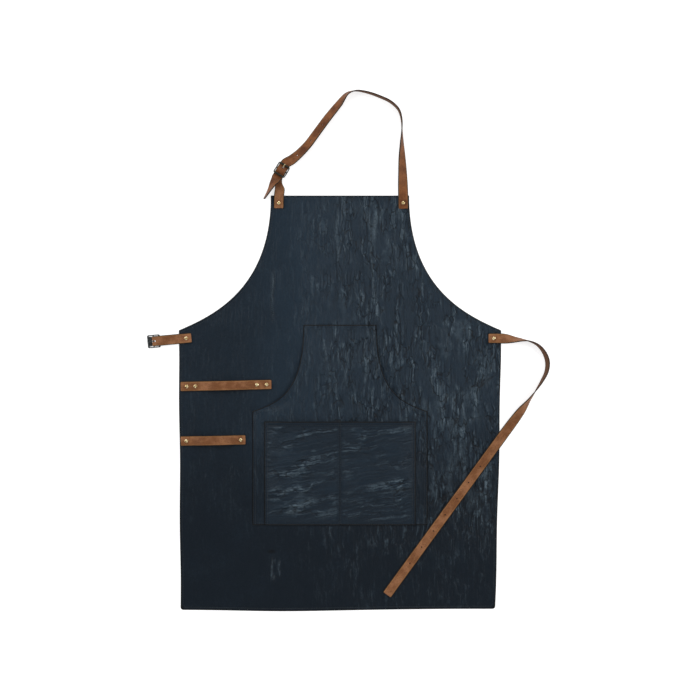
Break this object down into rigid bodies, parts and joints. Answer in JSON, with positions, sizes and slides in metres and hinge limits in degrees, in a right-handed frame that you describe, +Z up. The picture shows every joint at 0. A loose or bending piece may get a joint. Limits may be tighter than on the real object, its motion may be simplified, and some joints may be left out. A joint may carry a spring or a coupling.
{
  "type": "butcher apron",
  "caption": "Leatherette butcher apron with a bib pocket, a lower pocket, towel loops, and riveted leather neck and waist straps with prong buckles.",
  "frame": {"origin": "bottom centre of the whole apron's box, as it lies flat with its straps", "axes": "+X across the apron to the right as seen from the front, +Y from the hem up to the bib and neck strap, +Z up out of the cloth's front face"},
  "size_m": [0.8736, 1.129, 0.0224],
  "materials": {
    "leatherette": "waxed dark navy leatherette, matt with scuffs",
    "strap_leather": "tan-brown leather, satin, worn edges",
    "brass": "antique brass",
    "gunmetal": "dark gunmetal plate"
  },
  "bodies": {
    "apron": {"apron_panel": "leatherette", "bib_pocket": "leatherette", "lower_pocket": "leatherette", "upper_loop": "strap_leather", "lower_loop": "strap_leather", "neck_strap": "strap_leather", "neck_buckle_strap": "strap_leather", "rivet_post_waist_left": "brass", "rivet_post_waist_right": "brass", "rivet_post_neck_left": "brass", "rivet_post_neck_right": "brass", "rivet_post_upper_loop_1": "brass", "rivet_post_upper_loop_2": "brass", "rivet_post_upper_loop_3": "brass", "rivet_post_upper_loop_4": "brass", "rivet_post_lower_loop_1": "brass", "rivet_post_lower_loop_2": "brass", "rivet_cap_waist_left": "brass", "rivet_cap_waist_right": "brass", "rivet_cap_neck_left": "brass", "rivet_cap_neck_right": "brass", "rivet_cap_upper_loop_1": "brass", "rivet_cap_upper_loop_2": "brass", "rivet_cap_upper_loop_3": "brass", "rivet_cap_upper_loop_4": "brass", "rivet_cap_lower_loop_1": "brass", "rivet_cap_lower_loop_2": "brass"},
    "waist_buckle_strap": {"waist_buckle_strap": "strap_leather"},
    "waist_buckle_frame": {"waist_buckle_frame": "gunmetal"},
    "waist_buckle_prong": {"waist_buckle_prong": "brass"},
    "waist_strap": {"waist_strap": "strap_leather"},
    "neck_buckle_frame": {"neck_buckle_frame": "gunmetal"},
    "neck_buckle_prong": {"neck_buckle_prong": "brass"}
  },
  "joints": [
    {"name": "waist_buckle_strap_swivel", "type": "hinge", "parent": "apron", "child": "waist_buckle_strap", "pos_m": [-0.35187, 0.02553, 0.0035], "axis": [0, 0, 1], "range_deg": [-40, 40]},
    {"name": "waist_buckle_frame_hinge", "type": "hinge", "parent": "waist_buckle_strap", "child": "waist_buckle_frame", "pos_m": [-0.42216, 0.01889, 0.006], "axis": [-0.0941, 0.9956, 0], "range_deg": [0, 80]},
    {"name": "waist_buckle_prong_hinge", "type": "hinge", "parent": "waist_buckle_frame", "child": "waist_buckle_prong", "pos_m": [-0.42216, 0.01889, 0.006], "axis": [-0.0941, 0.9956, 0], "range_deg": [0, 60]},
    {"name": "waist_strap_swivel", "type": "hinge", "parent": "apron", "child": "waist_strap", "pos_m": [0.31673, 0.02553, 0.0035], "axis": [0, 0, 1], "range_deg": [0, 60]},
    {"name": "neck_buckle_frame_hinge", "type": "hinge", "parent": "apron", "child": "neck_buckle_frame", "pos_m": [-0.14417, 0.39093, 0.0054], "axis": [0.848, -0.5299, 0], "range_deg": [-3, 3]},
    {"name": "neck_buckle_prong_hinge", "type": "hinge", "parent": "neck_buckle_frame", "child": "neck_buckle_prong", "pos_m": [-0.14417, 0.39093, 0.0054], "axis": [0.848, -0.5299, 0], "range_deg": [0, 8]}
  ]
}
